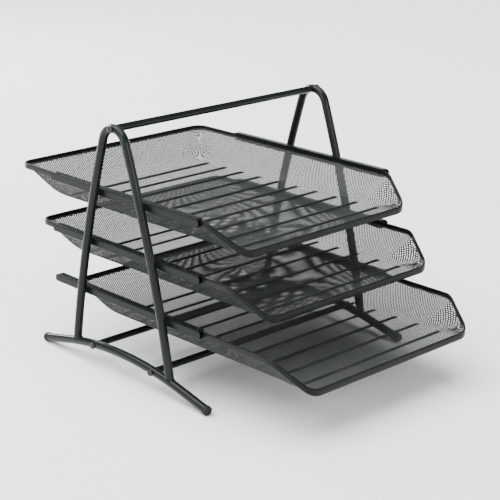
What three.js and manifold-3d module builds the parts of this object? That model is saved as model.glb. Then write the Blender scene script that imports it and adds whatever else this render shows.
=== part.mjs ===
// Three-tier letter tray: three mesh trays that slide in C-shaped rails between two A-frames.
// Millimetres, +Z up, the open side of the trays faces -Y, the stand rests on z = 0.
import * as THREE from 'three';
import { mergeVertices } from 'three/addons/utils/BufferGeometryUtils.js';
import Module from 'manifold-3d';

const wasm = await Module();
wasm.setup();
const { Manifold } = wasm;

// ---- driving dimensions -------------------------------------------------------------------
const GAP = 0.3; // clearance between pieces that touch

const FRAME_X = 145; // from the middle plane to the axis of each A-frame
const TUBE = { outer: 4.7, inner: 3.9, sides: 14, boreSides: 8 };
const APEX = { z: 274.6, bend: 19.95, tilt: 0.327 }; // tilt: how far each leg leans there, radians
const LEG_BOW = { y: 63, z: 131 }; // where the tangents of a leg's two ends meet
const LEG_FOOT_Y = 81; // where a leg's axis meets the foot tube
const FOOT = { halfLength: 136.5, top: 25.2, radius: 445, straightFrom: 98 };
const CAP = { radius: 5.3, barrel: 4.0, length: 5.6, stem: 9 }; // end plug of a foot tube

const BAR = { outer: 3.8, inner: 3.0, saddle: 2.6 }; // saddle: how far an end wraps round its tube
const CROSS_BARS = { rear: 46.5, front: -54.5 }; // along Y, from the apex plane
const INSERT = { outer: 2.7, inner: 2.2, length: 14 };
const SCREW = {
  shank: 1.9, head: 4.1, headHeight: 2.4, reach: 11, slotWidth: 1.0, slotDepth: 1.1,
  tipLength: 1, tipTaper: 0.7,
};

const RAIL = { height: 9, depth: 8, sheet: 1, rear: 125.4, front: -124.2, corner: 4.2 };
const TRAY_RISE = 59.1; // from one tier to the next
const LOWEST_RIM = 83.3; // height of the bottom tray's rim
const RIM_OVER_RAIL = 7.4; // from the underside of a rail up to the rim's top edge

const TRAY = {
  halfWidth: 135, length: 362, straight: 321.8, // straight: rear edge to where the sides dip
  frontDrop: 26, frontNarrowing: 17.7, // the front edge is lower and narrower than the rim
};
const RIM = { thick: 2.2, height: 6.1, frontHeight: 7.5, rearCorner: 16, bend: 7, frontCorner: 13 };
const BASKET = {
  sheet: 0.5, topDrop: 3, rearDepth: 36.5, frontDepth: 32.6,
  halfWidth: 111.3, rearInset: 22, frontInset: 29, sideBreak: 300,
  rearCorner: 30, frontCorner: 12, levels: 3,
  sideFillet: 8, rearFillet: 16, frontFillet: 6, wallShare: 0.6, // wallShare: most of a wall a fillet takes
  flatRearCorner: 24, flatFrontCorner: 9, // corners of the flat part of the floor, inside the fillets
};
const CORNER_STEPS = 4; // straight pieces in each rounded corner of a rim or a floor
const RIB = { count: 9, pitch: 31.2, halfLength: 102, foot: 1.3, crest: 0.7, height: 1.6, sunk: 0.2 };
const PULLED = { top: 0, middle: 34.6, bottom: 93.5 }; // how far each tray stands forward
const TOP_TRAY_REAR = 192.7; // the top tray's rear edge, behind the apex plane

const frontmost = TOP_TRAY_REAR - PULLED.bottom - TRAY.length;
const APEX_Y = -(TOP_TRAY_REAR + frontmost) / 2; // centres the object along Y

// ---- materials ----------------------------------------------------------------------------
const powderCoat = () => new THREE.MeshStandardMaterial({
  color: 0x34393a, roughness: 0.42, metalness: 0.35,
});
const meshCoat = () => new THREE.MeshStandardMaterial({
  color: 0x3d4444, roughness: 0.5, metalness: 0.3, transparent: true, opacity: 0.75,
});
const plastic = () => new THREE.MeshStandardMaterial({ color: 0x161819, roughness: 0.6 });
const darkSteel = () => new THREE.MeshStandardMaterial({
  color: 0x2e2f31, roughness: 0.25, metalness: 0.6,
});

// ---- helpers ------------------------------------------------------------------------------
function toSolid(geometry) {
  geometry.deleteAttribute('normal');
  geometry.deleteAttribute('uv');
  const merged = mergeVertices(geometry, 1e-4);
  return new Manifold(new wasm.Mesh({
    numProp: 3,
    vertProperties: new Float32Array(merged.attributes.position.array),
    triVerts: new Uint32Array(merged.index.array),
  }));
}

// A box with its centre at the given point, for cutting.
function boxAt(width, depth, height, x, y, z) {
  return toSolid(new THREE.BoxGeometry(width, depth, height)).translate([x, y, z]);
}

function toGeometry(solid) {
  const mesh = solid.getMesh();
  const geometry = new THREE.BufferGeometry();
  geometry.setAttribute('position', new THREE.BufferAttribute(mesh.vertProperties, 3));
  geometry.setIndex(new THREE.BufferAttribute(mesh.triVerts, 1));
  geometry.computeVertexNormals();
  return geometry;
}

function named(name, geometry, material) {
  const mesh = new THREE.Mesh(geometry, material);
  mesh.name = name;
  return mesh;
}

function ring(radius, sides) {
  const corner = (_, i) => new THREE.Vector2(
    radius * Math.cos((2 * Math.PI * i) / sides),
    radius * Math.sin((2 * Math.PI * i) / sides),
  );
  return Array.from({ length: sides }, corner);
}

// A smooth path whose extrusion has one ring at each of the given points.
function pathThrough(points) {
  const path = new THREE.CatmullRomCurve3(points);
  path.getUtoTmapping = (share) => share;
  return path;
}

function sweep(section, path) {
  const steps = path.points.length - 1;
  return new THREE.ExtrudeGeometry(section, { steps, extrudePath: path, bevelEnabled: false });
}

function tubeAlong(path) {
  const section = new THREE.Shape(ring(TUBE.outer, TUBE.sides));
  section.holes.push(new THREE.Path(ring(TUBE.inner, TUBE.boreSides)));
  return sweep(section, path);
}

// A rod or a pipe along X, from x = 0 to x = length.
function rodAlongX(radius, length, sides = 16, bore = 0) {
  const section = new THREE.Shape(ring(radius, sides));
  if (bore > 0) section.holes.push(new THREE.Path(ring(bore, sides)));
  const rod = new THREE.ExtrudeGeometry(section, { depth: length, bevelEnabled: false });
  return rod.rotateY(Math.PI / 2);
}

// ---- A-frames -----------------------------------------------------------------------------
// Height of a foot tube's axis: an arc in the middle, straight towards both ends.
function footHeight(y) {
  const reach = Math.abs(y);
  const arc = (d) => FOOT.top - FOOT.radius + Math.sqrt(FOOT.radius ** 2 - d ** 2);
  if (reach <= FOOT.straightFrom) return arc(reach);
  const slope = Math.tan(Math.asin(FOOT.straightFrom / FOOT.radius));
  return arc(FOOT.straightFrom) - slope * (reach - FOOT.straightFrom);
}

function footPath() {
  const { halfLength, straightFrom } = FOOT;
  const spots = [-halfLength, -(halfLength + straightFrom) / 2];
  for (let i = -4; i <= 4; i++) spots.push((straightFrom * i) / 4);
  spots.push((halfLength + straightFrom) / 2, halfLength);
  return pathThrough(spots.map((y) => new THREE.Vector3(0, y, footHeight(y))));
}

// A leg tube's axis: up the front leg, round the apex and down the rear leg.
function legPath() {
  const bendTop = new THREE.Vector3(
    0,
    APEX.bend * Math.cos(APEX.tilt),
    APEX.z - APEX.bend * (1 - Math.sin(APEX.tilt)),
  );
  const foot = new THREE.Vector3(0, LEG_FOOT_Y, footHeight(LEG_FOOT_Y));
  const bow = new THREE.Vector3(0, LEG_BOW.y, LEG_BOW.z);
  const rear = new THREE.QuadraticBezierCurve3(bendTop, bow, foot).getPoints(6);
  const bend = [];
  const bendSteps = 8;
  for (let i = 1; i < bendSteps; i++) {
    const angle = APEX.tilt + ((Math.PI - 2 * APEX.tilt) * i) / bendSteps;
    const y = APEX.bend * Math.cos(angle);
    bend.push(new THREE.Vector3(0, y, APEX.z - APEX.bend * (1 - Math.sin(angle))));
  }
  const front = rear.map((p) => new THREE.Vector3(0, -p.y, p.z));
  return pathThrough([...front.reverse(), ...bend.reverse(), ...rear]);
}

// What a piece that meets a bent tube is cut back by: the tube and the gap round it.
function roomAround(path) {
  return toSolid(sweep(new THREE.Shape(ring(TUBE.outer + GAP, TUBE.sides)), path));
}

const roomForFoot = roomAround(footPath());
const roomForLeg = roomAround(legPath());

// What a screw needs free where it crosses a tube at (y, z).
function screwHole(y, z) {
  return toSolid(rodAlongX(SCREW.shank + GAP, 4 * TUBE.outer, 12).translate(-2 * TUBE.outer, y, z));
}

const crossBarSpots = Object.values(CROSS_BARS).map((y) => [y, footHeight(y)]);

function footTube() {
  let tube = toSolid(tubeAlong(footPath()));
  for (const [y, z] of crossBarSpots) tube = tube.subtract(screwHole(y, z));
  return toGeometry(tube);
}

function legTube() {
  const tube = toSolid(tubeAlong(legPath()));
  return toGeometry(tube.subtract(roomForFoot).subtract(screwHole(0, APEX.z)));
}

// The plug in a foot tube's end: a stem in the bore and a rounded head with a flat underside.
function endCap() {
  const stem = TUBE.inner * Math.cos(Math.PI / TUBE.boreSides) - GAP; // clear of the bore's flats
  const profile = [
    [0, -CAP.stem], [stem, -CAP.stem], [stem, GAP], [CAP.radius, GAP],
    [CAP.radius, CAP.barrel], [CAP.radius * 0.86, (CAP.barrel + 2 * CAP.length) / 3],
    [CAP.radius * 0.55, CAP.length], [0, CAP.length],
  ];
  const slope = Math.asin(FOOT.straightFrom / FOOT.radius);
  const cap = new THREE.LatheGeometry(profile.map(([r, y]) => new THREE.Vector2(r, y)), 14);
  cap.rotateX(-slope).translate(0, FOOT.halfLength, footHeight(FOOT.halfLength));
  const room = 40; // any box that holds the whole cap above the ground
  const above = boxAt(room, room, room, 0, FOOT.halfLength, room / 2);
  return toGeometry(toSolid(cap).intersect(above));
}

// A button-head screw along +X whose head's underside is at x = 0.
function screw() {
  const { shank, head, headHeight, reach, tipLength, tipTaper } = SCREW;
  const end = 2 * TUBE.outer + reach;
  const profile = [
    [0, -headHeight], [head * 0.55, -headHeight * 0.92], [head * 0.88, -headHeight * 0.55],
    [head, -headHeight * 0.1], [head, 0], [shank, 0],
    [shank, end - tipLength], [shank - tipTaper, end], [0, end],
  ];
  const turned = new THREE.LatheGeometry(profile.map(([r, y]) => new THREE.Vector2(r, y)), 12);
  const slot = boxAt(SCREW.slotDepth * 2, SCREW.slotWidth, head * 1.3, -headHeight, 0, 0);
  return toGeometry(toSolid(turned.rotateZ(-Math.PI / 2)).subtract(slot));
}

// A bar between the two A-frames at (y, z), its ends hollowed to fit round the tubes it meets.
function crossBar(y, z, room) {
  const half = FRAME_X - TUBE.outer + BAR.saddle;
  let bar = toSolid(rodAlongX(BAR.outer, 2 * half, 18, BAR.inner).translate(-half, y, z));
  for (const x of [-FRAME_X, FRAME_X]) bar = bar.subtract(room.translate([x, 0, 0]));
  return toGeometry(bar);
}

// ---- rails --------------------------------------------------------------------------------
// A C-channel with rounded ends. Its web faces -X at x = 0 and it opens towards +X.
function rail() {
  const { height, depth, sheet, rear, front, corner } = RAIL;
  const side = new THREE.Shape();
  side.moveTo(front + corner, 0);
  side.lineTo(rear - corner, 0);
  side.absarc(rear - corner, corner, corner, -Math.PI / 2, 0);
  side.lineTo(rear, height - corner);
  side.absarc(rear - corner, height - corner, corner, 0, Math.PI / 2);
  side.lineTo(front + corner, height);
  side.absarc(front + corner, height - corner, corner, Math.PI / 2, Math.PI);
  side.lineTo(front, corner);
  side.absarc(front + corner, corner, corner, Math.PI, 1.5 * Math.PI);
  const block = new THREE.ExtrudeGeometry(side, { depth, curveSegments: 4, bevelEnabled: false });
  block.rotateX(Math.PI / 2).rotateZ(Math.PI / 2);
  const middle = [sheet + depth / 2, (rear + front) / 2, height / 2];
  const channel = boxAt(depth, 2 * (rear - front), height - 2 * sheet, ...middle);
  return toGeometry(toSolid(block).subtract(channel));
}

// ---- trays --------------------------------------------------------------------------------
// A closed loop through corners, each rounded over its own setback.
function roundedLoop(corners, cornerSteps) {
  const points = [];
  corners.forEach(({ at, setback }, i) => {
    const before = corners[(i + corners.length - 1) % corners.length].at;
    const after = corners[(i + 1) % corners.length].at;
    const start = at.clone().add(before.clone().sub(at).setLength(setback));
    const end = at.clone().add(after.clone().sub(at).setLength(setback));
    points.push(...new THREE.QuadraticBezierCurve3(start, at, end).getPoints(cornerSteps));
  });
  return points;
}

// Horizontal direction towards the inside at each point of a loop that runs anticlockwise.
function inwardNormals(loop) {
  return loop.map((_, i) => {
    const before = loop[(i + loop.length - 1) % loop.length];
    const after = loop[(i + 1) % loop.length];
    const along = after.clone().sub(before).setZ(0).normalize();
    return new THREE.Vector3(-along.y, along.x, 0);
  });
}

const mirrored = ({ at, setback }) => ({ at: new THREE.Vector3(-at.x, at.y, at.z), setback });

// Rim's outer top edge, with y = 0 at the tray's rear and z = 0 at the rim's top.
function rimLoop() {
  const { halfWidth, length, straight, frontDrop, frontNarrowing } = TRAY;
  const left = [
    { at: new THREE.Vector3(-halfWidth, 0, 0), setback: RIM.rearCorner },
    { at: new THREE.Vector3(-halfWidth, -straight, 0), setback: RIM.bend },
    { at: new THREE.Vector3(frontNarrowing - halfWidth, -length, -frontDrop), setback: RIM.frontCorner },
  ];
  return roundedLoop([...left, ...left.map(mirrored).reverse()], CORNER_STEPS);
}

function floorHeight(y) {
  const { rearDepth, frontDepth, rearInset, frontInset } = BASKET;
  const share = (-y - rearInset) / (TRAY.length - frontInset - rearInset);
  return -rearDepth + (rearDepth - frontDepth) * share;
}

// A loop on the floor's plane, in from the sharp edge where walls and floor would meet.
function floorLoop({ side, rear, front, rearCorner, frontCorner }) {
  const { halfWidth, rearInset, frontInset, sideBreak } = BASKET;
  const spot = (y, setback) => ({ at: new THREE.Vector3(side - halfWidth, y, floorHeight(y)), setback });
  const left = [
    spot(-rearInset - rear, rearCorner),
    spot(-sideBreak, RIM.bend),
    spot(frontInset + front - TRAY.length, frontCorner),
  ];
  return roundedLoop([...left, ...left.map(mirrored).reverse()], CORNER_STEPS);
}

const sharpEdge = () => floorLoop({
  side: 0, rear: 0, front: 0,
  rearCorner: BASKET.rearCorner, frontCorner: BASKET.frontCorner,
});
const flatEdge = () => floorLoop({
  side: BASKET.sideFillet, rear: BASKET.rearFillet, front: BASKET.frontFillet,
  rearCorner: BASKET.flatRearCorner, frontCorner: BASKET.flatFrontCorner,
});

// Joins rings of equal length into one closed surface. The last ring closes onto the first.
// The first half of the rings is a sheet's outer side and the rest its inner side. The diagonals
// match on both sides of the sheet, and left and right mirror each other.
function skinRings(rings) {
  const count = rings[0].length;
  const positions = rings.flat().flatMap((p) => [p.x, p.y, p.z]);
  const faces = [];
  rings.forEach((_, r) => {
    const next = (r + 1) % rings.length;
    const onOuterSide = r < rings.length / 2;
    for (let i = 0; i < count; i++) {
      const j = (i + 1) % count;
      const [a, b, c, d] = [r * count + i, r * count + j, next * count + j, next * count + i];
      const onLeft = i < count / 2;
      faces.push(...(onOuterSide === onLeft ? [a, d, c, a, c, b] : [a, d, b, b, d, c]));
    }
  });
  return { positions, faces };
}

function geometryOf({ positions, faces }) {
  const geometry = new THREE.BufferGeometry();
  geometry.setAttribute('position', new THREE.Float32BufferAttribute(positions, 3));
  geometry.setIndex(faces);
  geometry.computeVertexNormals();
  return geometry;
}

// The steel strip that edges a tray.
function rimStrip() {
  const outer = rimLoop();
  const inward = inwardNormals(outer);
  const height = (p) => RIM.height + (RIM.frontHeight - RIM.height) * (-p.z / TRAY.frontDrop);
  const lowered = (p) => p.clone().setZ(p.z - height(p));
  const inner = outer.map((p, i) => p.clone().addScaledVector(inward[i], RIM.thick));
  const innerFoot = inner.map((p, i) => p.clone().setZ(lowered(outer[i]).z));
  return geometryOf(skinRings([outer, outer.map(lowered), innerFoot, inner]));
}

// One ring of the basket's outer side for each level, from the rim down to the flat floor.
function basketRings() {
  const rim = rimLoop();
  const rimInward = inwardNormals(rim);
  const flat = flatEdge();
  const columns = sharpEdge().map((corner, i) => {
    const top = rim[i].clone().addScaledVector(rimInward[i], RIM.thick + GAP);
    top.z -= BASKET.topDrop;
    const setback = corner.distanceTo(flat[i]);
    const upWall = top.clone().sub(corner);
    upWall.setLength(Math.min(setback, upWall.length() * BASKET.wallShare)).add(corner);
    const fillet = new THREE.QuadraticBezierCurve3(upWall, corner, flat[i]);
    return [top, ...fillet.getPoints(BASKET.levels)];
  });
  return columns[0].map((_, level) => columns.map((column) => column[level]));
}

// Moves each ring towards the inside of the bowl by the thickness of the sheet.
function innerRings(rings, sheet) {
  const count = rings[0].length;
  return rings.map((ringPoints, level) => ringPoints.map((p, i) => {
    if (level === rings.length - 1) return p.clone().setZ(p.z + sheet);
    const along = ringPoints[(i + 1) % count].clone().sub(ringPoints[(i + count - 1) % count]);
    const down = rings[level + 1][i].clone().sub(rings[Math.max(level - 1, 0)][i]);
    const inward = along.cross(down).normalize();
    return p.clone().addScaledVector(inward, sheet);
  }));
}

// The floor and walls of a tray as one thin shell, with raised ribs across its floor.
function basket() {
  const outside = basketRings();
  const inside = innerRings(outside, BASKET.sheet);
  const count = outside[0].length;
  const { positions, faces } = skinRings([...outside, ...inside.reverse()]);
  // skinRings also joined the two floor rings: replace that band by the two floor faces.
  const floorRing = outside.length - 1;
  const band = [floorRing * count * 6, (floorRing + 1) * count * 6];
  faces.splice(band[0], band[1] - band[0]);
  // Each floor face is a ladder: point i on the left, its mirror image on the right.
  for (let i = 0; i < count / 2 - 1; i++) {
    const [a, b, c, d] = [i, i + 1, count - 2 - i, count - 1 - i];
    const under = (point) => floorRing * count + point;
    const over = (point) => (floorRing + 1) * count + point;
    faces.push(...[a, c, b, a, d, c].map(under), ...[a, b, c, a, c, d].map(over));
  }
  let body = toSolid(geometryOf({ positions, faces }));
  for (let i = 1; i <= RIB.count; i++) {
    const y = BASKET.frontInset - TRAY.length + i * RIB.pitch;
    body = body.add(rib().translate([0, y, floorHeight(y) + BASKET.sheet]));
  }
  return toGeometry(body);
}

function rib() {
  const section = new THREE.Shape([
    new THREE.Vector2(-RIB.foot, -RIB.sunk),
    new THREE.Vector2(RIB.foot, -RIB.sunk),
    new THREE.Vector2(RIB.crest, RIB.height),
    new THREE.Vector2(-RIB.crest, RIB.height),
  ]);
  const bar = new THREE.ExtrudeGeometry(section, { depth: 2 * RIB.halfLength, bevelEnabled: false });
  bar.rotateX(Math.PI / 2).rotateZ(Math.PI / 2).translate(-RIB.halfLength, 0, 0);
  return toSolid(bar);
}

// ---- assembly -----------------------------------------------------------------------------
const stand = new THREE.Group();
stand.position.y = APEX_Y;

const sides = { left: -1, right: 1 };
const tiers = { bottom: 0, middle: 1, top: 2 };
const rimTop = (tier) => LOWEST_RIM + tiers[tier] * TRAY_RISE;

// Puts a mesh built for the left side on the given side by turning it half round.
function placeOnSide(mesh, side, x, y, z) {
  if (side === 'right') mesh.rotation.z = Math.PI;
  mesh.position.set(sides[side] * x, y, z);
  stand.add(mesh);
}

for (const [side, sign] of Object.entries(sides)) {
  const tubes = [
    named(`${side}_leg_tube`, legTube(), powderCoat()),
    named(`${side}_foot_tube`, footTube(), powderCoat()),
  ];
  for (const tube of tubes) {
    tube.position.x = sign * FRAME_X;
    stand.add(tube);
  }
  for (const [end, turn] of [['rear', 0], ['front', Math.PI]]) {
    const cap = named(`${side}_${end}_foot_cap`, endCap(), plastic());
    cap.position.x = sign * FRAME_X;
    cap.rotation.z = turn;
    stand.add(cap);
  }
  for (const tier of Object.keys(tiers)) {
    const channel = named(`${side}_${tier}_rail`, rail(), powderCoat());
    const web = FRAME_X - TUBE.outer - GAP;
    if (side === 'right') channel.geometry.scale(-1, 1, 1);
    if (side === 'right') channel.geometry.index.array.reverse();
    channel.position.set(sign * web, 0, rimTop(tier) - RIM_OVER_RAIL);
    stand.add(channel);
  }
}

const bars = {
  handle: { y: 0, z: APEX.z, room: roomForLeg },
  rear_cross: { y: CROSS_BARS.rear, z: footHeight(CROSS_BARS.rear), room: roomForFoot },
  front_cross: { y: CROSS_BARS.front, z: footHeight(CROSS_BARS.front), room: roomForFoot },
};
for (const [bar, { y, z, room }] of Object.entries(bars)) {
  stand.add(named(`${bar}_bar`, crossBar(y, z, room), powderCoat()));
  for (const side of Object.keys(sides)) {
    placeOnSide(named(`${side}_${bar}_screw`, screw(), darkSteel()), side, FRAME_X + TUBE.outer + GAP, y, z);
    const pipe = rodAlongX(INSERT.outer, INSERT.length, 12, INSERT.inner);
    const start = FRAME_X - TUBE.outer - 2 * GAP;
    placeOnSide(named(`${side}_${bar}_insert`, pipe, darkSteel()), side, start, y, z);
  }
}

for (const tier of Object.keys(tiers)) {
  const tray = new THREE.Group();
  tray.position.set(0, TOP_TRAY_REAR - PULLED[tier], rimTop(tier));
  tray.add(named(`${tier}_tray_rim`, rimStrip(), powderCoat()));
  tray.add(named(`${tier}_tray_basket`, basket(), meshCoat()));
  stand.add(tray);
}

const letterTray = new THREE.Group();
letterTray.add(stand);

export default letterTray;
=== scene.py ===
"""Three-tier mesh letter tray on two A-frames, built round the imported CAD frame.

Lengths are millimetres until a mesh is made, and places come from the boxes of the CAD nodes.
"""

import math

import bmesh
import bpy
import numpy as np
from mathutils import Matrix, Vector


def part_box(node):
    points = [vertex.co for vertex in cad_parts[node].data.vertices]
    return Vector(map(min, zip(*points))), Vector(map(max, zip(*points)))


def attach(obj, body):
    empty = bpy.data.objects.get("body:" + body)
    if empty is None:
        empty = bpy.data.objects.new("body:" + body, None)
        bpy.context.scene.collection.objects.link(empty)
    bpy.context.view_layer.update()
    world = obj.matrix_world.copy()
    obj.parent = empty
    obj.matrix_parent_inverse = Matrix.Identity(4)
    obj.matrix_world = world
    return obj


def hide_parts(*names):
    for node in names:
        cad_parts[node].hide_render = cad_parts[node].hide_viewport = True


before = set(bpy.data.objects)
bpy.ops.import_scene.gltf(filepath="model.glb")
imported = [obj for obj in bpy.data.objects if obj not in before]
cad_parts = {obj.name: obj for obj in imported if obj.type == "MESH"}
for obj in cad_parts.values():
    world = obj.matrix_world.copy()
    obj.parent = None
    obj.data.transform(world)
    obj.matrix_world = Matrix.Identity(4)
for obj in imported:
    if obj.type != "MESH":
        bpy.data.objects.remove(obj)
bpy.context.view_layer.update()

MM = 0.001
SIDES = {"left": -1, "right": 1}
TIERS = ("bottom", "middle", "top")
BARS = ("handle", "rear_cross", "front_cross")

# ---- shapes that the boxes of the CAD nodes don't give -----------------------------------
BORE, BAR_BORE = 3.9, 3.0  # inner radius of a leg or foot tube, and of a bar
GAP = 0.3  # between pieces that touch
APEX_BEND = 19.95  # radius of the bend at the top of a leg tube, to its axis
LEG_TILT = 0.327  # lean of a leg where that bend ends, radians
LEG_BOW = (63, 131)  # where the tangents of a leg's two ends meet: along Y, up Z
LEG_FOOT_Y = 81  # where a leg's axis meets the foot tube's
LEG_END = 0.8  # a leg stops this share of the tube's radius before that axis
FOOT_RADIUS = 445  # of a foot tube's arch
FOOT_TOP = 25.2  # height of a foot tube's axis at its middle
FOOT_STRAIGHT = 98  # the tube is straight beyond this
FOOT_HALF = 136.5  # from the tube's middle to its end
CAP_BARREL, CAP_LENGTH, CAP_RADIUS = 4.0, 5.6, 5.3
CAP_STEM = 9  # how far a cap goes into its tube
CAP_CHAMFER = 0.4
SCREW_SHANK, SCREW_REACH = 1.9, 11  # radius of a screw, and its length past the tube
SCREW_TIP_LENGTH, SCREW_TIP_TAPER = 1, 0.7
SCREW_CROWN = 0.6  # power of the cosine that gives the head its crown
SCREW_DOME = (0.06, math.pi / 2 - 0.05)  # the crown stops short of its axis and its seat
SLOT_DEPTH, SLOT_WIDTH, SLOT_LENGTH = 1.1, 1.0, 2.6  # the length is in head radii
RAIL_SHEET, RAIL_CORNER, RAIL_BEND = 1.0, 4.2, 1.4  # thickness, end radius, bend radius
RAIL_BEAD, FOOT_BEAD = 1.15, 0.95  # radii of the weld beads
RAIL_BEAD_SPREAD = 2.6  # from a leg's axis to the beads on its two sides
RAIL_BEAD_END, RAIL_BEAD_DEPTH = 0.8, 0.5  # short of a rail's edges, and into the leg
FOOT_BEAD_RISE = 0.1  # of a bead's middle over the foot tube
LEG_LEAN = 0.25  # a leg's lean where it meets the foot, along Y for each unit of height
BEAD_RIPPLE, BEAD_RIPPLE_RATE = 0.12, 1.9  # as a share of the radius, and in radians a point
BEAD_END_POWER, BEAD_END_LEAST = 6, 0.05  # how a bead narrows at its ends
BEAD_SWITCH = 0.8  # a path closer to the X axis than this cosine gets Y for its helper
RIM_THICK, RIM_HEIGHT, RIM_FRONT_HEIGHT = 2.2, 6.1, 7.5
RIM_CHAMFER, RIM_CHAMFER_START = 0.25, 0.94  # across, and down as a share of the height
TRAY_STRAIGHT = 321.8  # length of the level part of a rim
TRAY_FRONT_DROP, TRAY_NARROWING = 26, 17.7  # of the rest, which slopes down to the front
RIM_REAR_CORNER, RIM_DIP, RIM_FRONT_CORNER = 16, 7, 13  # how far each bend reaches
FLOOR_HALF = 111.3  # half width of the floor
FLOOR_REAR, FLOOR_FRONT, FLOOR_BREAK = 22, 29, 300  # from the tray's rear, front and rear
FLOOR_REAR_DEPTH, FLOOR_FRONT_DEPTH = 36.5, 32.6  # below the rim's top
FLOOR_REAR_CORNER, FLOOR_FRONT_CORNER = 30, 12
FILLET_SIDE, FILLET_REAR, FILLET_FRONT = 8, 16, 6  # how far each goes into the floor
WALL_SHARE = 0.6  # the most of a wall that a fillet takes up
FLAT_REAR_CORNER, FLAT_FRONT_CORNER = 24, 9  # of the flat part of the floor, inside the fillets
BASKET_TOP_DROP = 3  # from the rim's top to the sheet's top edge
RIB_COUNT, RIB_PITCH = 9, 31.2  # the count leaves out the bead at the front fold
RIB_HALF = 106  # half a rib's length
RIB_WIDTH, RIB_HEIGHT = 3.0, 1.9
RIB_SINK = 0.4  # added to a rib's height, since its foot is below the sheet
RIB_RUN_OUT, RIB_LEAST = 5, 0.08  # length of the slope at a rib's end, and its height there
RIB_SEAT = 0.6  # how deep a rib's foot is, in strand depths

CELL_ACROSS, CELL_ALONG = 3.2, 2.1  # diagonals of a diamond of the expanded mesh
STRAND, STRAND_DEPTH = 1.02, 0.2  # width and depth of a strand
HOLE_DEPTH = 0.25  # how far down its strands a hole's edge is, as a share of their depth
CELL_MARGIN = 0.6  # a cell is kept if its centre is this far below the sheet's top edge
EDGE_MARGIN = 0.4  # and its corners go no nearer than this
SHEET_SPREAD = 40  # how far past the floor's outline the flat pattern is laid
BANDS = ("rear", "middle", "front")  # a basket's pieces, each of whole rows of diamonds

# ---- how finely shapes are made ----------------------------------------------------------
TUBE_SIDES, TURNED_SIDES, BEAD_SIDES = 36, 48, 12
FOOT_POINTS, LEG_POINTS, APEX_POINTS, LEG_TABLE = 81, 60, 33, 200
CAP_POINTS, SCREW_POINTS = 9, 10
BEND_POINTS, WEB_POINTS, RAIL_RINGS, BEAD_POINTS = 5, 12, 13, 15
CORNER_STEPS, STRAIGHT_STEPS, SHEET_CORNER_STEPS = 12, 20, 36
FOLD_POINTS, FILLET_POINTS = 11, 13
RIB_RINGS, RIB_POINTS = 41, 9
SMOOTH_ANGLE, RIM_SMOOTH_ANGLE = 40, 45  # degrees: sharper edges stay sharp
JOIN_DISTANCE = 1e-7  # metres

# ---- camera ------------------------------------------------------------------------------
CAMERA_AZIMUTH, CAMERA_ELEVATION, CAMERA_ROLL = -42.97, 18.41, -0.17
CAMERA_DISTANCE = 1529.07
CAMERA_TARGET = (-15.97, -43.94, 130.15)
LENS, SENSOR, CAMERA_SHIFT = 102.2, 36, (-0.0179, 0.0053)
CLIP_NEAR, CLIP_FAR = 0.05, 60  # metres

# ---- light, in metres and watts ----------------------------------------------------------
FLOOR_SIZE, FLOOR_BELOW = 24.0, 0.0004
FLOOR_WHITE, FLOOR_ROUGHNESS, FLOOR_SPECULAR = 0.94, 0.6, 0.2
WALL_STRENGTH, CEILING_STRENGTH = 2.1, 0.15
WALL_TOP, CEILING_BOTTOM = 0.12, 0.3  # sine of the elevation where the walls fade, and end
SUN_STRENGTH, SUN_SPREAD, SUN_TILT = 7.6, 70, (-12, -14)  # the angles are in degrees
AREA_LIGHTS = (  # name, place, aim, diameter, power
    ("left_box", (-2.2, 0.2, 0.9), (0, 0, 0.12), 0.9, 20),
    ("front_box", (-0.4, -2.4, 1.1), (0, 0, 0.12), 0.9, 26),
    ("rear_strip", (0.1, 2.4, 1.2), (0, 0, 0.15), 0.7, 60),
)


def box(name):
    """Lowest and highest corner of a CAD node, in millimetres."""
    low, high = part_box(name)
    return np.array(low) / MM, np.array(high) / MM


leg_low, leg_high = box("left_leg_tube")
FRAME_X = -(leg_low[0] + leg_high[0]) / 2
TUBE = (leg_high[0] - leg_low[0]) / 2
APEX_Y = (leg_low[1] + leg_high[1]) / 2
APEX_Z = leg_high[2] - TUBE


# ---- materials ---------------------------------------------------------------------------
TINT_SCALE, TINT_RANGE = 26.0, (0.3, 0.72)  # cells a metre, and the share of noise that is mixed
BUMP_DISTANCE = 0.0003  # metres


def node(tree, kind, **values):
    """A shader node with some of its inputs or settings filled in."""
    made = tree.nodes.new(kind)
    for name, value in values.items():
        if name in made.inputs:
            made.inputs[name].default_value = value
        else:
            setattr(made, name, value)
    return made


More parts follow.
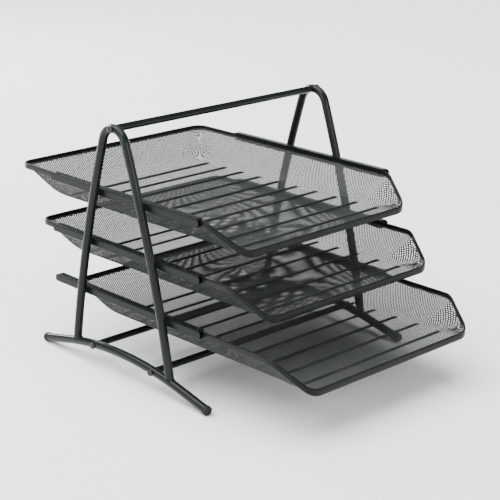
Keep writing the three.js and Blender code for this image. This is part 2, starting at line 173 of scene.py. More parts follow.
def coated(name, dark, light, roughness, peel, grain, specular):
    """A finish whose colour and gloss vary a little, with a fine surface texture."""
    material = bpy.data.materials.new(name)
    material.use_nodes = True
    tree = material.node_tree
    shader = tree.nodes["Principled BSDF"]
    shader.inputs["Specular IOR Level"].default_value = specular
    coordinates = tree.nodes.new("ShaderNodeTexCoord")
    link = tree.links.new

    cloud = node(tree, "ShaderNodeTexNoise", Scale=TINT_SCALE, Detail=4.0, Roughness=0.6)
    link(coordinates.outputs["Object"], cloud.inputs["Vector"])
    tint = tree.nodes.new("ShaderNodeValToRGB")
    for stop, position, colour in zip(tint.color_ramp.elements, TINT_RANGE, (dark, light)):
        stop.position, stop.color = position, (*colour, 1)
    link(cloud.outputs["Fac"], tint.inputs["Fac"])
    link(tint.outputs["Color"], shader.inputs["Base Color"])

    fine = node(tree, "ShaderNodeTexNoise", Scale=grain, Detail=3.0, Roughness=0.55)
    link(coordinates.outputs["Object"], fine.inputs["Vector"])
    gloss = node(tree, "ShaderNodeMapRange")
    gloss.inputs["To Min"].default_value = roughness[0]
    gloss.inputs["To Max"].default_value = roughness[1]
    link(fine.outputs["Fac"], gloss.inputs["Value"])
    link(gloss.outputs["Result"], shader.inputs["Roughness"])
    bump = node(tree, "ShaderNodeBump", Strength=peel, Distance=BUMP_DISTANCE)
    link(fine.outputs["Fac"], bump.inputs["Height"])
    link(bump.outputs["Normal"], shader.inputs["Normal"])
    return material


FINISHES = {  # dark and light colour, range of roughness, bump strength, grain, specular level
    "tube_coat": ((0.005, 0.007, 0.007), (0.010, 0.013, 0.012), (0.16, 0.26), 0.25, 900, 0.16),
    "rail_coat": ((0.004, 0.006, 0.006), (0.008, 0.010, 0.010), (0.22, 0.34), 0.3, 900, 0.11),
    "tray_rim": ((0.004, 0.005, 0.005), (0.008, 0.010, 0.010), (0.24, 0.36), 0.3, 900, 0.1),
    "tray_mesh": ((0.016, 0.020, 0.019), (0.026, 0.031, 0.030), (0.34, 0.48), 0.2, 700, 0.2),
    "foot_plastic": ((0.005, 0.005, 0.006), (0.009, 0.009, 0.010), (0.5, 0.65), 0.5, 1400, 0.2),
    "screw_steel": ((0.010, 0.010, 0.011), (0.018, 0.018, 0.019), (0.10, 0.16), 0.1, 1600, 0.35),
}
materials = {name: coated(name, *finish) for name, finish in FINISHES.items()}


# ---- mesh helpers ------------------------------------------------------------------------
def mesh_of(name, verts, faces, slot):
    """A mesh from points in millimetres and faces of any kind."""
    mesh = bpy.data.meshes.new(name)
    mesh.from_pydata((verts * MM).tolist(), [], faces)
    mesh.materials.append(materials[slot])
    return mesh


def face_outward(mesh):
    """Joins doubled points and turns every face outward."""
    work = bmesh.new()
    work.from_mesh(mesh)
    bmesh.ops.remove_doubles(work, verts=work.verts, dist=JOIN_DISTANCE)
    bmesh.ops.recalc_face_normals(work, faces=work.faces)
    if work.calc_volume(signed=True) < 0:
        bmesh.ops.reverse_faces(work, faces=work.faces)
    work.to_mesh(mesh)
    work.free()


def finish_piece(mesh, body, replaced):
    """A piece with the mesh's name, smooth except at its sharp edges."""
    face_outward(mesh)
    mesh.shade_smooth()
    mesh.set_sharp_from_angle(angle=math.radians(SMOOTH_ANGLE))
    return place(mesh.name, mesh, body, replaced)


def make(name, verts, faces, body, slot, replaced=()):
    """A piece from points in millimetres."""
    return finish_piece(mesh_of(name, verts, faces, slot), body, replaced)


def place(name, mesh, body, replaced=(), at=(0, 0, 0)):
    """Hands a piece to the frame: what it rides and what it stands for."""
    piece = bpy.data.objects.new(name, mesh)
    piece.location = Vector(at) * MM
    bpy.context.scene.collection.objects.link(piece)
    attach(piece, body)
    if replaced:
        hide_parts(*replaced)
    return piece


def frames_along(points, across):
    """Two unit vectors at right angles to the path at each point. One is the fixed one given."""
    along = np.gradient(points, axis=0)
    along /= np.linalg.norm(along, axis=1)[:, None]
    first = np.tile(np.asarray(across, float), (len(points), 1))
    second = np.cross(along, first)
    return first, second / np.linalg.norm(second, axis=1)[:, None]


def ring_strip(rings, closed=False):
    """Quads between rings of equal length. closed joins the last ring to the first."""
    count = len(rings[0])
    faces = []
    for r in range(len(rings) if closed else len(rings) - 1):
        here, after = r * count, ((r + 1) % len(rings)) * count
        for i in range(count):
            j = (i + 1) % count
            faces.append((here + i, here + j, after + j, after + i))
    return np.concatenate(rings), faces


def round_turns(sides):
    """Angles evenly round a circle."""
    return np.arange(sides) * 2 * math.pi / sides


def capped(rings):
    """Quads between rings, and a face over each end."""
    verts, faces = ring_strip(rings)
    count = len(rings[0])
    last = (len(rings) - 1) * count
    return verts, faces + [tuple(range(count)), tuple(last + i for i in reversed(range(count)))]


def hollow_tube(points, outer, bore, across):
    """A pipe along a path that stays in the plane square to across."""
    first, second = frames_along(points, across)
    turns = round_turns(TUBE_SIDES)

    def ring(i, radius):
        spread = np.cos(turns)[:, None] * first[i] + np.sin(turns)[:, None] * second[i]
        return points[i] + radius * spread

    outside = [ring(i, outer) for i in range(len(points))]
    inside = [ring(i, bore) for i in reversed(range(len(points)))]
    return ring_strip(outside + inside, closed=True)


def turned(profile):
    """A body of revolution about +X from (along, radius) pairs that start and end on the axis."""
    rings = []
    sides = TURNED_SIDES
    turns = round_turns(sides)
    for along, radius in profile[1:-1]:
        ring = [(along, radius * math.cos(t), radius * math.sin(t)) for t in turns]
        rings.append(np.array(ring))
    verts, faces = ring_strip(rings)
    first, last = len(verts), len(verts) + 1
    verts = np.vstack([verts, (profile[0][0], 0, 0), (profile[-1][0], 0, 0)])
    tail = (len(rings) - 1) * sides
    for i in range(sides):
        j = (i + 1) % sides
        faces.append((first, j, i))
        faces.append((last, tail + i, tail + j))
    return verts, faces


# ---- A-frames ----------------------------------------------------------------------------
def foot_height(y):
    """Height of a foot tube's axis: an arc, with a straight slope beyond each end."""
    reach = np.minimum(np.abs(y), FOOT_STRAIGHT)
    arc = FOOT_TOP - FOOT_RADIUS + np.sqrt(FOOT_RADIUS**2 - reach**2)
    slope = math.tan(math.asin(FOOT_STRAIGHT / FOOT_RADIUS))
    return arc - slope * np.maximum(np.abs(y) - FOOT_STRAIGHT, 0)


def foot_path(x):
    ys = np.linspace(-FOOT_HALF, FOOT_HALF, FOOT_POINTS)
    return np.stack([np.full(len(ys), x), APEX_Y + ys, foot_height(ys)], 1)


def leg_half(steps):
    """The rear half of a leg's axis from the bend down to the foot tube, as (y, z)."""
    start = np.array([
        APEX_BEND * math.cos(LEG_TILT),
        APEX_Z - APEX_BEND * (1 - math.sin(LEG_TILT)),
    ])
    end = np.array([LEG_FOOT_Y, float(foot_height(LEG_FOOT_Y))])
    t = np.linspace(0, 1, steps)[:, None]
    return (1 - t) ** 2 * start + 2 * t * (1 - t) * np.array(LEG_BOW) + t**2 * end


def leg_path(x, stop):
    """A leg tube's axis, which ends the given distance before the foot tube's axis."""
    down = leg_half(LEG_POINTS)
    into_foot = np.linalg.norm(down - down[-1], axis=1)
    down = down[into_foot > stop]
    angles = np.linspace(LEG_TILT, math.pi - LEG_TILT, APEX_POINTS)[1:-1]
    bend_y = APEX_BEND * np.cos(angles)
    bend = np.stack([bend_y, APEX_Z - APEX_BEND * (1 - np.sin(angles))], 1)
    front = down * [-1, 1]
    whole = np.vstack([front[::-1], bend[::-1], down])
    return np.column_stack([np.full(len(whole), x), APEX_Y + whole[:, 0], whole[:, 1]])


def leg_y(z):
    """How far from the middle a leg's axis is at a height."""
    down = leg_half(LEG_TABLE)
    return np.interp(z, down[::-1, 1], down[::-1, 0])


def build_legs_and_feet():
    for side, sign in SIDES.items():
        x = sign * FRAME_X
        verts, faces = hollow_tube(leg_path(x, TUBE * LEG_END), TUBE, BORE, (1, 0, 0))
        make(f"{side}_leg", verts, faces, "stand", "tube_coat", [f"{side}_leg_tube"])
        verts, faces = hollow_tube(foot_path(x), TUBE, BORE, (1, 0, 0))
        make(f"{side}_foot", verts, faces, "stand", "tube_coat", [f"{side}_foot_tube"])


def build_caps():
    """Rounded plugs in the foot tubes' ends, flat where they rest."""
    slope = math.asin(FOOT_STRAIGHT / FOOT_RADIUS)
    dome = CAP_LENGTH - CAP_BARREL
    rounding = [
        (CAP_BARREL + dome * math.sin(a), CAP_RADIUS - dome * (1 - math.cos(a)))
        for a in np.linspace(0, math.pi / 2, CAP_POINTS)
    ]
    stem = BORE - 2 * GAP
    profile = [(-CAP_STEM, 0), (-CAP_STEM, stem), (GAP, stem), (GAP, CAP_RADIUS - CAP_CHAMFER)]
    profile += [(GAP + CAP_CHAMFER, CAP_RADIUS), *rounding, (CAP_LENGTH, 0)]
    base, faces = turned(profile)
    for side, sign in SIDES.items():
        for end, way in (("rear", 1), ("front", -1)):
            along = np.array([0, way * math.cos(slope), -math.sin(slope)])
            up = np.array([0, way * math.sin(slope), math.cos(slope)])
            across = np.array([1.0, 0, 0])
            start = np.array([sign * FRAME_X, APEX_Y + way * FOOT_HALF, foot_height(FOOT_HALF)])
            verts = start + base[:, :1] * along + base[:, 1:2] * across + base[:, 2:3] * up
            mesh = mesh_of(f"{side}_{end}_cap", verts, faces, "foot_plastic")
            cut_at_floor(mesh)
            finish_piece(mesh, "stand", [f"{side}_{end}_foot_cap"])


def cut_at_floor(mesh):
    """Takes off what is below z = 0 and closes the cut."""
    work = bmesh.new()
    work.from_mesh(mesh)
    bmesh.ops.remove_doubles(work, verts=work.verts, dist=JOIN_DISTANCE)
    everything = work.verts[:] + work.edges[:] + work.faces[:]
    made = bmesh.ops.bisect_plane(
        work, geom=everything, plane_co=(0, 0, 0), plane_no=(0, 0, 1), clear_inner=True
    )
    edges = [g for g in made["geom_cut"] if isinstance(g, bmesh.types.BMEdge)]
    bmesh.ops.holes_fill(work, edges=edges)
    work.to_mesh(mesh)
    work.free()


def build_bars():
    """Straight pipes whose ends are hollowed to sit against the tubes that they meet."""
    turns = round_turns(TUBE_SIDES)
    for bar in BARS:
        low, high = box(f"{bar}_bar")
        y, z = (low[1] + high[1]) / 2, (low[2] + high[2]) / 2
        outer = (high[2] - low[2]) / 2
        rings = []
        for radius, way in ((outer, -1), (outer, 1), (BAR_BORE, 1), (BAR_BORE, -1)):
            rise = radius * np.sin(turns)
            reach = FRAME_X - np.sqrt((TUBE + GAP) ** 2 - rise**2)
            rings.append(np.stack([way * reach, y + radius * np.cos(turns), z + rise], 1))
        verts, faces = ring_strip(rings, closed=True)
        make(f"{bar}_pipe", verts, faces, "stand", "tube_coat", [f"{bar}_bar"])


def build_screws():
    """Button-head screws with a slot, one at each end of each bar."""
    for bar in BARS:
        for side, sign in SIDES.items():
            node_name = f"{side}_{bar}_screw"
            low, high = box(node_name)
            y, z = (low[1] + high[1]) / 2, (low[2] + high[2]) / 2
            head = (high[2] - low[2]) / 2
            seat = sign * (FRAME_X + TUBE + GAP)
            tall = max(abs(low[0]), abs(high[0])) - abs(seat)
            dome = [
                (-tall * math.sin(a), head * math.cos(a) ** SCREW_CROWN)
                for a in np.linspace(*SCREW_DOME, SCREW_POINTS)
            ]
            end = 2 * TUBE + SCREW_REACH
            profile = [(-tall, 0), *reversed(dome), (0, head), (0, SCREW_SHANK)]
            tip = SCREW_SHANK - SCREW_TIP_TAPER
            profile += [(end - SCREW_TIP_LENGTH, SCREW_SHANK), (end, tip), (end, 0)]
            base, faces = turned(profile)
            verts = base * [-sign, 1, 1] + [seat, y, z]
            screw = make(f"{side}_{bar}_bolt", verts, faces, "stand", "screw_steel", [node_name])
            cut_slot(screw, Vector((seat + sign * tall, y, z)), head)


def cut_slot(screw, top, head):
    """Cuts the slot into a screw whose head has its top at the given point."""
    cutter_mesh = bpy.data.meshes.new("slot_cutter")
    block = bmesh.new()
    bmesh.ops.create_cube(block, size=1)
    size = Matrix.Diagonal((2 * SLOT_DEPTH * MM, SLOT_WIDTH * MM, head * SLOT_LENGTH * MM, 1))
    spot = Matrix.Translation(top * MM)
    bmesh.ops.transform(block, matrix=spot @ size, verts=block.verts)
    block.to_mesh(cutter_mesh)
    block.free()
    cutter = bpy.data.objects.new("slot_cutter", cutter_mesh)
    bpy.context.scene.collection.objects.link(cutter)
    cut = screw.modifiers.new("slot", "BOOLEAN")
    cut.operation, cut.solver, cut.object = "DIFFERENCE", "EXACT", cutter
    depsgraph = bpy.context.evaluated_depsgraph_get()
    slotted = bpy.data.meshes.new_from_object(screw.evaluated_get(depsgraph))
    screw.modifiers.clear()
    screw.data = slotted
    bpy.data.objects.remove(cutter)


# ---- rails -------------------------------------------------------------------------------
def corner_arc(centre, radius, start):
    angles = start + np.linspace(0, math.pi / 2, BEND_POINTS)
    return [(centre[0] + radius * math.cos(a), centre[1] + radius * math.sin(a)) for a in angles]


def rail_section(depth, height):
    """Outline of a C of folded sheet. Its web is at x = 0 and it opens towards +x."""
    bend, sheet = RAIL_BEND, RAIL_SHEET
    inner = bend - sheet
    outline = [(depth, 0), (depth, sheet)]
    outline += reversed(corner_arc((bend, bend), inner, math.pi))
    web = np.linspace(bend, height - bend, WEB_POINTS)[1:-1]
    outline += [(sheet, z) for z in web]
    outline += reversed(corner_arc((bend, height - bend), inner, math.pi / 2))
    outline += [(depth, height - sheet), (depth, height)]
    outline += corner_arc((bend, height - bend), bend, math.pi / 2)
    outline += [(0, z) for z in reversed(web)]
    outline += corner_arc((bend, bend), bend, math.pi)
    return np.array(outline)


def build_rails():
    for side, sign in SIDES.items():
        for tier in TIERS:
            low, high = box(f"{side}_{tier}_rail")
            depth, height = high[0] - low[0], high[2] - low[2]
            outline = rail_section(depth, height)
            into = np.maximum(RAIL_CORNER - np.minimum(outline[:, 1], height - outline[:, 1]), 0)
            trim = RAIL_CORNER - np.sqrt(np.maximum(RAIL_CORNER**2 - into**2, 0))
            x = (low[0] if sign < 0 else high[0]) - sign * outline[:, 0]
            z = low[2] + outline[:, 1]
            rings = [
                np.stack([x, (low[1] + trim) * (1 - t) + (high[1] - trim) * t, z], 1)
                for t in np.linspace(0, 1, RAIL_RINGS)
            ]
            replaced = [f"{side}_{tier}_rail"]
            make(f"{side}_{tier}_channel", *capped(rings), "stand", "rail_coat", replaced)


# ---- welds -------------------------------------------------------------------------------
def bead(points, radius, closed=False):
    """A weld bead along a path, with the ripple of a hand-run weld."""
    if closed:
        along = np.roll(points, -1, 0) - np.roll(points, 1, 0)
    else:
        along = np.gradient(points, axis=0)
    along /= np.linalg.norm(along, axis=1)[:, None]
    helper = np.where(np.abs(along[:, :1]) < BEAD_SWITCH, [[1.0, 0, 0]], [[0, 1.0, 0]])
    first = np.cross(along, helper)
    first /= np.linalg.norm(first, axis=1)[:, None]
    second = np.cross(along, first)
    turns = round_turns(BEAD_SIDES)
    share = np.linspace(0, 1, len(points))
    width = radius * (1 + BEAD_RIPPLE * np.sin(share * len(points) * BEAD_RIPPLE_RATE))
    if not closed:
        narrowing = 1 - (2 * share - 1) ** BEAD_END_POWER
        width *= np.sqrt(np.clip(narrowing, BEAD_END_LEAST, 1))
    rings = []
    for i in range(len(points)):
        spread = np.cos(turns)[:, None] * first[i] + np.sin(turns)[:, None] * second[i]
        rings.append(points[i] + width[i] * spread)
    return ring_strip(rings, closed=True) if closed else capped(rings)


def joined(parts):
    """Several (points, faces) as one."""
    verts, faces, offset = [], [], 0
    for part_verts, part_faces in parts:
        verts.append(part_verts)
        faces += [tuple(i + offset for i in f) for f in part_faces]
        offset += len(part_verts)
    return np.concatenate(verts), faces


def build_welds():
    for side, sign in SIDES.items():
        for tier in TIERS:
            low, high = box(f"{side}_{tier}_rail")
            zs = np.linspace(low[2] + RAIL_BEAD_END, high[2] - RAIL_BEAD_END, BEAD_POINTS)
            x = np.full(len(zs), sign * (FRAME_X - TUBE + RAIL_BEAD_DEPTH))
            parts = []
            for leg in (-1, 1):
                for edge in (-1, 1):
                    y = APEX_Y + leg * leg_y(zs) + edge * RAIL_BEAD_SPREAD
                    parts.append(bead(np.stack([x, y, zs], 1), RAIL_BEAD))
            make(f"{side}_{tier}_rail_welds", *joined(parts), "stand", "rail_coat")
        parts = []
        turns = round_turns(TURNED_SIDES)
        across, along = TUBE * np.cos(turns), TUBE * np.sin(turns)
        for leg in (-1, 1):
            y = leg * LEG_FOOT_Y + along
            z = foot_height(y) + np.sqrt(np.maximum((TUBE + FOOT_BEAD_RISE) ** 2 - across**2, 0))
            # the leg leans, so its section moves inward as the seam climbs
            y = y - leg * LEG_LEAN * (z - foot_height(LEG_FOOT_Y))
            seam = np.stack([sign * FRAME_X + across, APEX_Y + y, z], 1)
            parts.append(bead(seam, FOOT_BEAD, closed=True))
        make(f"{side}_foot_welds", *joined(parts), "stand", "tube_coat")


# ---- trays -------------------------------------------------------------------------------
def rounded_loop(corners, corner_steps):
    """A closed loop through (point, setback) corners, with points along its straights too."""
    points, count = [], len(corners)
    for i, (at, setback) in enumerate(corners):
        before, after = corners[i - 1][0], corners[(i + 1) % count][0]
        start = at + (before - at) / np.linalg.norm(before - at) * setback
        end = at + (after - at) / np.linalg.norm(after - at) * setback
        for t in np.linspace(0, 1, corner_steps + 1):
            points.append((1 - t) ** 2 * start + 2 * t * (1 - t) * at + t**2 * end)
        next_setback = corners[(i + 1) % count][1]
        following = after + (at - after) / np.linalg.norm(at - after) * next_setback
        for t in np.linspace(0, 1, STRAIGHT_STEPS + 2)[1:-1]:
            points.append(end * (1 - t) + following * t)
    return np.array(points)


def with_mirror(left):
    """Corners from rear to front on the left, and then back again on the right."""
    return left + [(at * [-1, 1, 1], setback) for at, setback in reversed(left)]


def inward(loop):
    """Level unit vectors towards the inside of a loop."""
    along = np.roll(loop, -1, 0) - np.roll(loop, 1, 0)
    along[:, 2] = 0
    along /= np.linalg.norm(along, axis=1)[:, None]
    return np.stack([-along[:, 1], along[:, 0], np.zeros(len(loop))], 1)


rim_low, rim_high = box("top_tray_rim")
TRAY_HALF = (rim_high[0] - rim_low[0]) / 2
TRAY_LENGTH = rim_high[1] - rim_low[1]


def rim_loop(corner_steps=CORNER_STEPS):
    """A rim's outer top edge, with y = 0 at the tray's rear and z = 0 at the rim's top."""
    left = [
        (np.array([-TRAY_HALF, 0, 0.0]), RIM_REAR_CORNER),
        (np.array([-TRAY_HALF, -TRAY_STRAIGHT, 0.0]), RIM_DIP),
        (np.array([TRAY_NARROWING - TRAY_HALF, -TRAY_LENGTH, -TRAY_FRONT_DROP]), RIM_FRONT_CORNER),
    ]
    return rounded_loop(with_mirror(left), corner_steps)


def floor_z(y):
    """Height of the floor, which rises a little towards the front."""
    share = (-y - FLOOR_REAR) / (TRAY_LENGTH - FLOOR_FRONT - FLOOR_REAR)
    return -FLOOR_REAR_DEPTH + (FLOOR_REAR_DEPTH - FLOOR_FRONT_DEPTH) * share


def floor_loop(corner_steps):
    """Where the planes of the walls meet the floor."""

    def spot(y, setback):
        return np.array([-FLOOR_HALF, y, floor_z(y)]), setback

    left = [
        spot(-FLOOR_REAR, FLOOR_REAR_CORNER),
        spot(-FLOOR_BREAK, RIM_DIP),
        spot(FLOOR_FRONT - TRAY_LENGTH, FLOOR_FRONT_CORNER),
    ]
    return rounded_loop(with_mirror(left), corner_steps)


def flat_loop(corner_steps):
    """The edge of the flat part of the floor, inside the fillets."""
    half = FLOOR_HALF - FILLET_SIDE

    def spot(y, setback):
        return np.array([-half, y, floor_z(y)]), setback

    left = [
        spot(-FLOOR_REAR - FILLET_REAR, FLAT_REAR_CORNER),
        spot(-FLOOR_BREAK, RIM_DIP),
        spot(FLOOR_FRONT - TRAY_LENGTH + FILLET_FRONT, FLAT_FRONT_CORNER),
    ]
    return rounded_loop(with_mirror(left), corner_steps)


def rim_mesh():
    """The folded strip round a tray: flat sides, and a rounded fold along its top."""
    outer = rim_loop()
    into = inward(outer)
    drop = -outer[:, 2] / TRAY_FRONT_DROP
    height = RIM_HEIGHT + (RIM_FRONT_HEIGHT - RIM_HEIGHT) * drop
    fold = RIM_THICK / 2
    # each step of the section: inset, drop as a share of the height, and drop in millimetres
    section = [(RIM_CHAMFER, 1, 0), (0, RIM_CHAMFER_START, 0)]
    for a in np.linspace(0, math.pi, FOLD_POINTS):
        section.append((fold - fold * math.cos(a), 0, fold * (1 - math.sin(a))))
    section += [(RIM_THICK, RIM_CHAMFER_START, 0), (RIM_THICK - RIM_CHAMFER, 1, 0)]
    rings = []
    for inset, share, below in section:
        ring = outer + into * inset
        ring[:, 2] -= height * share + below
        rings.append(ring)
    return ring_strip(rings, closed=True)


def basket_columns():
    """The sheet's inside line at each place round the tray, from the flat floor up to the rim."""
    rim, edge, flat = (loop(SHEET_CORNER_STEPS) for loop in (rim_loop, floor_loop, flat_loop))
    rim_in = inward(rim)
    columns = []
    for i in range(len(edge)):
        top = rim[i] + rim_in[i] * (RIM_THICK + GAP)
        top[2] -= BASKET_TOP_DROP
        corner, on_floor = edge[i], flat[i]
        setback = np.linalg.norm(corner - on_floor)
        wall = top - corner
        length = np.linalg.norm(wall)
        up_wall = corner + wall / length * min(setback, length * WALL_SHARE)
        t = np.linspace(0, 1, FILLET_POINTS)[:, None]
        fillet = (1 - t) ** 2 * on_floor + 2 * t * (1 - t) * corner + t**2 * up_wall
        columns.append(np.vstack([fillet, top]))
    return np.array(columns)


class Sheet:
    """Lays a flat pattern over a tray: its floor stays flat, and the rest goes up the walls."""

    BATCH = 4000  # points worked on at once
    STEP = 0.15  # for finding a normal

    def __init__(self):
        self.columns = basket_columns()
        steps = np.linalg.norm(np.diff(self.columns, axis=1), axis=2)
        self.reach = np.concatenate([np.zeros((len(steps), 1)), np.cumsum(steps, 1)], 1)
        self.base = self.columns[:, 0, :2]

    def nearest(self, points):
        """The floor-edge segment nearest each point, how far along it, and the distance out."""
        start = self.base
        run = np.roll(start, -1, 0) - start
        square = np.maximum((run**2).sum(1), 1e-12)
        seg = np.zeros(len(points), int)
        frac, dist = np.zeros(len(points)), np.zeros(len(points))
        outside = np.zeros(len(points), bool)
        for first in range(0, len(points), self.BATCH):
            batch = slice(first, first + self.BATCH)
            offset = points[batch, None] - start[None]
            t = np.clip((offset * run).sum(2) / square, 0, 1)
            gap = offset - t[..., None] * run
            far = (gap**2).sum(2)
            k = far.argmin(1)
            rows = np.arange(len(k))
            seg[batch], frac[batch] = k, t[rows, k]
            dist[batch] = np.sqrt(far[rows, k])
            near_run, near_offset = run[k], offset[rows, k]
            left_of = near_run[:, 0] * near_offset[:, 1] - near_run[:, 1] * near_offset[:, 0]
            outside[batch] = left_of < 0
        return seg, frac, dist, outside

    def along_column(self, index, distance):
        """The point at a distance up each given column."""
        reach = self.reach[index]
        distance = np.minimum(distance, reach[:, -1])
        k = np.clip((reach[:, 1:-1] < distance[:, None]).sum(1), 0, reach.shape[1] - 2)
        rows = np.arange(len(index))
        span = np.maximum(reach[rows, k + 1] - reach[rows, k], 1e-9)
        t = ((distance - reach[rows, k]) / span)[:, None]
        column = self.columns[index]
        return column[rows, k] * (1 - t) + column[rows, k + 1] * t

    def place(self, points, margin):
        """Where flat points lie on the tray, and which of them are past its top edge."""
        seg, frac, dist, outside = self.nearest(points)
        after = (seg + 1) % len(self.base)
        limit = self.reach[seg, -1] * (1 - frac) + self.reach[after, -1] * frac - margin
        over = outside & (dist > limit)
        dist = np.minimum(dist, limit)
        wall = self.along_column(seg, dist) * (1 - frac[:, None])
        wall += self.along_column(after, dist) * frac[:, None]
        floor = np.column_stack([points, floor_z(points[:, 1])])
        return np.where(outside[:, None], wall, floor), over

    def place_with_normal(self, points):
        """Where flat points lie, with the sheet's normal there, facing the inside of the tray."""
        shifts = [(0, 0), (self.STEP, 0), (-self.STEP, 0), (0, self.STEP), (0, -self.STEP)]
        here, right, left, rear, front = (
            self.place(points + np.array(shift), EDGE_MARGIN)[0] for shift in shifts
        )
        normal = np.cross(right - left, rear - front)
        size = np.linalg.norm(normal, axis=1)
        weak = size < 1e-6
        normal[weak], size[weak] = (0, 0, 1), 1
        return here, normal / size[:, None]


def basket_bands():
    """Expanded metal in bands from rear to front: strands flat above, with a ridge below."""
    sheet = Sheet()
    half_across, half_along = CELL_ACROSS / 2, CELL_ALONG / 2
    wide = int((TRAY_HALF + SHEET_SPREAD) / half_across)
    ahead = int((TRAY_LENGTH + SHEET_SPREAD) / half_along)
    behind = int(SHEET_SPREAD / half_along)
    cells = np.array([
        (i, j) for j in range(-ahead, behind) for i in range(-wide, wide + 1) if (i + j) % 2 == 0
    ])
    centres = cells * [half_across, half_along]
    _, over = sheet.place(centres, CELL_MARGIN)
    cells = cells[~over]
    rows = np.array_split(np.unique(cells[:, 1])[::-1], len(BANDS))
    return [diamonds(sheet, cells[np.isin(cells[:, 1], band)]) for band in rows]


def diamonds(sheet, cells):
    """A closed mesh of the given cells, as points and quads."""
    half_across, half_along = CELL_ACROSS / 2, CELL_ALONG / 2
    centres = cells * [half_across, half_along]
    corners = np.array([(1, 0), (0, 1), (-1, 0), (0, -1)])
    lattice = cells[:, None] + corners
    keys, index = np.unique(lattice.reshape(-1, 2), axis=0, return_inverse=True)
    index = index.reshape(-1, 4)
    flat_nodes = keys * [half_across, half_along]
    slant = math.atan2(half_along, half_across)
    # a hole's size as a share of its cell, where half a strand is taken off each side
    open_share = 1 - STRAND / 2 / math.sin(slant) / half_across
    hole_corners = corners * [half_across, half_along] * open_share
    flat_holes = (centres[:, None] + hole_corners).reshape(-1, 2)

    top, normal = sheet.place_with_normal(flat_nodes)
    hole, hole_normal = sheet.place_with_normal(flat_holes)
    low = top - normal * STRAND_DEPTH
    hole = hole - hole_normal * STRAND_DEPTH * HOLE_DEPTH
    verts = np.concatenate([top, low, hole])
    n = len(top)
    holes = 2 * n + np.arange(len(cells) * 4).reshape(-1, 4)
    a, b = index, np.roll(index, -1, 1)
    c, d = holes, np.roll(holes, -1, 1)
    upper = np.stack([a, b, d, c], -1).reshape(-1, 4)
    lower = np.stack([n + b, n + a, c, d], -1).reshape(-1, 4)
    # sides that only one diamond has are the sheet's cut edge
    sides = np.stack([a, b], -1).reshape(-1, 2)
    ordered = np.sort(sides, 1)
    _, first, counts = np.unique(ordered, axis=0, return_index=True, return_counts=True)
    rim_sides = sides[first[counts == 1]]
    one, other = rim_sides.T
    edge = np.stack([other, one, n + one, n + other], -1)
    return verts, np.concatenate([upper, lower, edge])


def rib_mesh():
    """The ridges pressed across a tray's floor, and the bead where it folds up into the lip."""
    fold = FLOOR_FRONT - TRAY_LENGTH
    xs = np.linspace(-RIB_HALF, RIB_HALF, RIB_RINGS)
    heights = RIB_HEIGHT * np.clip((RIB_HALF - np.abs(xs)) / RIB_RUN_OUT, RIB_LEAST, 1) + RIB_SINK
    arch = np.linspace(0, math.pi, RIB_POINTS)
    parts = []
    for i in range(RIB_COUNT + 1):
        y = fold + i * RIB_PITCH
        z = floor_z(y) - STRAND_DEPTH * RIB_SEAT
        parts.append(capped([
            np.column_stack([
                np.full(len(arch), x), y - RIB_WIDTH / 2 * np.cos(arch), z + height * np.sin(arch)
            ])
            for x, height in zip(xs, heights)
        ]))
    return joined(parts)


def quick_mesh(name, verts, quads, slot):
    """A mesh of triangles from numpy arrays of points in millimetres and of quads.

    Points that fall together are joined, and triangles with no area are dropped.
    """
    _, first, index = np.unique(np.round(verts, 4), axis=0, return_index=True, return_inverse=True)
    verts = verts[first]
    faces = index.reshape(-1)[quads[:, [0, 1, 2, 0, 2, 3]]].reshape(-1, 3)
    a, b, c = faces.T
    faces = faces[(a != b) & (b != c) & (c != a)]
    mesh = bpy.data.meshes.new(name)
    mesh.vertices.add(len(verts))
    mesh.vertices.foreach_set("co", (verts * MM).astype(np.float32).ravel())
    mesh.loops.add(faces.size)
    mesh.loops.foreach_set("vertex_index", faces.astype(np.int32).ravel())
    mesh.polygons.add(len(faces))
    mesh.polygons.foreach_set("loop_start", np.arange(0, faces.size, 3, dtype=np.int32))
    mesh.update(calc_edges=True)
    mesh.validate()
    mesh.materials.append(materials[slot])
    return mesh


def build_trays():
    baskets = [
        quick_mesh(f"expanded_{band}", *solid, "tray_mesh")
        for band, solid in zip(BANDS, basket_bands())
    ]
    ribs = mesh_of("pressed_ribs", *rib_mesh(), "tray_mesh")
    face_outward(ribs)
    ribs.shade_smooth()
    rim = mesh_of("folded_rim", *rim_mesh(), "tray_rim")
    rim.shade_smooth()
    rim.set_sharp_from_angle(angle=math.radians(RIM_SMOOTH_ANGLE))
    for tier in TIERS:
        _, high = box(f"{tier}_tray_rim")
        at = (0, high[1], high[2])
        body = f"{tier}_tray"
        for band, mesh in zip(BANDS, baskets):
            replaced = [f"{tier}_tray_basket"] if band == BANDS[0] else []
            place(f"{tier}_basket_{band}", mesh, body, replaced, at)
        place(f"{tier}_ribs", ribs, body, at=at)
        place(f"{tier}_rim", rim, body, [f"{tier}_tray_rim"], at)


def finish_inserts():
    """The threaded inserts stay as the CAD made them, and only get their finish."""
    for name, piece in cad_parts.items():
        if name.endswith("_insert"):
            piece.data.materials.clear()
            piece.data.materials.append(materials["screw_steel"])


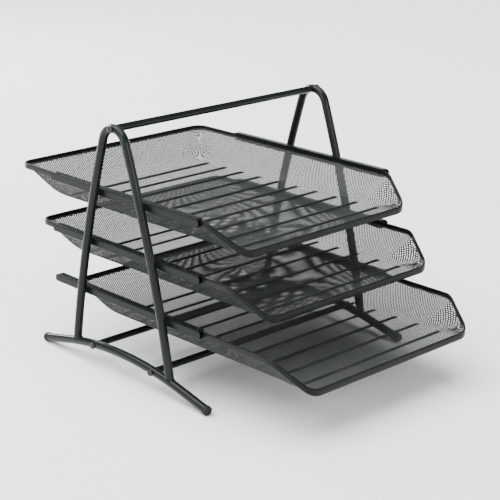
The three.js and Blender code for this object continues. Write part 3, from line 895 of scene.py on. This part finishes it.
# ---- studio ------------------------------------------------------------------------------
def build_floor():
    mesh = bpy.data.meshes.new("studio_floor")
    half = FLOOR_SIZE / 2
    corners = [(-half, -half, 0), (half, -half, 0), (half, half, 0), (-half, half, 0)]
    mesh.from_pydata(corners, [], [(0, 1, 2, 3)])
    floor = bpy.data.objects.new("studio_floor", mesh)
    floor.location = (0, 0, -FLOOR_BELOW)
    material = bpy.data.materials.new("pale_floor")
    material.use_nodes = True
    shader = material.node_tree.nodes["Principled BSDF"]
    shader.inputs["Base Color"].default_value = (FLOOR_WHITE, FLOOR_WHITE, FLOOR_WHITE, 1)
    shader.inputs["Roughness"].default_value = FLOOR_ROUGHNESS
    shader.inputs["Specular IOR Level"].default_value = FLOOR_SPECULAR
    mesh.materials.append(material)
    bpy.context.scene.collection.objects.link(floor)


def add_light(name, at, aim, size, power):
    light = bpy.data.lights.new(name, "AREA")
    light.shape, light.size, light.energy = "DISK", size, power
    lamp = bpy.data.objects.new(name, light)
    lamp.location = at
    lamp.rotation_euler = (Vector(aim) - Vector(at)).to_track_quat("-Z", "Y").to_euler()
    lamp.visible_camera = False
    bpy.context.scene.collection.objects.link(lamp)


def build_studio():
    build_floor()
    world = bpy.data.worlds.new("studio")
    bpy.context.scene.world = world
    world.use_nodes = True
    tree = world.node_tree
    background = tree.nodes["Background"]
    background.inputs["Color"].default_value = (1, 1, 1, 1)
    # white walls round the table, which fade to a dim ceiling
    coordinates = tree.nodes.new("ShaderNodeTexCoord")
    part = tree.nodes.new("ShaderNodeSeparateXYZ")
    fade = node(tree, "ShaderNodeMapRange", interpolation_type="SMOOTHSTEP")
    fade.inputs["From Min"].default_value = WALL_TOP
    fade.inputs["From Max"].default_value = CEILING_BOTTOM
    fade.inputs["To Min"].default_value = WALL_STRENGTH
    fade.inputs["To Max"].default_value = CEILING_STRENGTH
    tree.links.new(coordinates.outputs["Generated"], part.inputs["Vector"])
    tree.links.new(part.outputs["Z"], fade.inputs["Value"])
    tree.links.new(fade.outputs["Result"], background.inputs["Strength"])
    sun = bpy.data.lights.new("overhead", "SUN")
    sun.energy, sun.angle = SUN_STRENGTH, math.radians(SUN_SPREAD)
    overhead = bpy.data.objects.new("overhead", sun)
    overhead.rotation_euler = (*(math.radians(tilt) for tilt in SUN_TILT), 0)
    bpy.context.scene.collection.objects.link(overhead)
    for light in AREA_LIGHTS:
        add_light(*light)


def build_camera():
    camera = bpy.data.cameras.new("camera")
    camera.lens, camera.sensor_width = LENS, SENSOR
    camera.shift_x, camera.shift_y = CAMERA_SHIFT
    camera.clip_start, camera.clip_end = CLIP_NEAR, CLIP_FAR
    eye = bpy.data.objects.new("camera", camera)
    a, e = math.radians(CAMERA_AZIMUTH), math.radians(CAMERA_ELEVATION)
    back = Vector((math.sin(a) * math.cos(e), -math.cos(a) * math.cos(e), math.sin(e)))
    eye.location = (Vector(CAMERA_TARGET) + back * CAMERA_DISTANCE) * MM
    turn = (-back).to_track_quat("-Z", "Y").to_matrix()
    roll = Matrix.Rotation(math.radians(CAMERA_ROLL), 3, "Z")
    eye.rotation_euler = (turn @ roll).to_euler()
    bpy.context.scene.collection.objects.link(eye)
    bpy.context.scene.camera = eye


build_camera()
build_studio()
build_legs_and_feet()
build_caps()
build_bars()
build_screws()
build_rails()
build_welds()
build_trays()
finish_inserts()
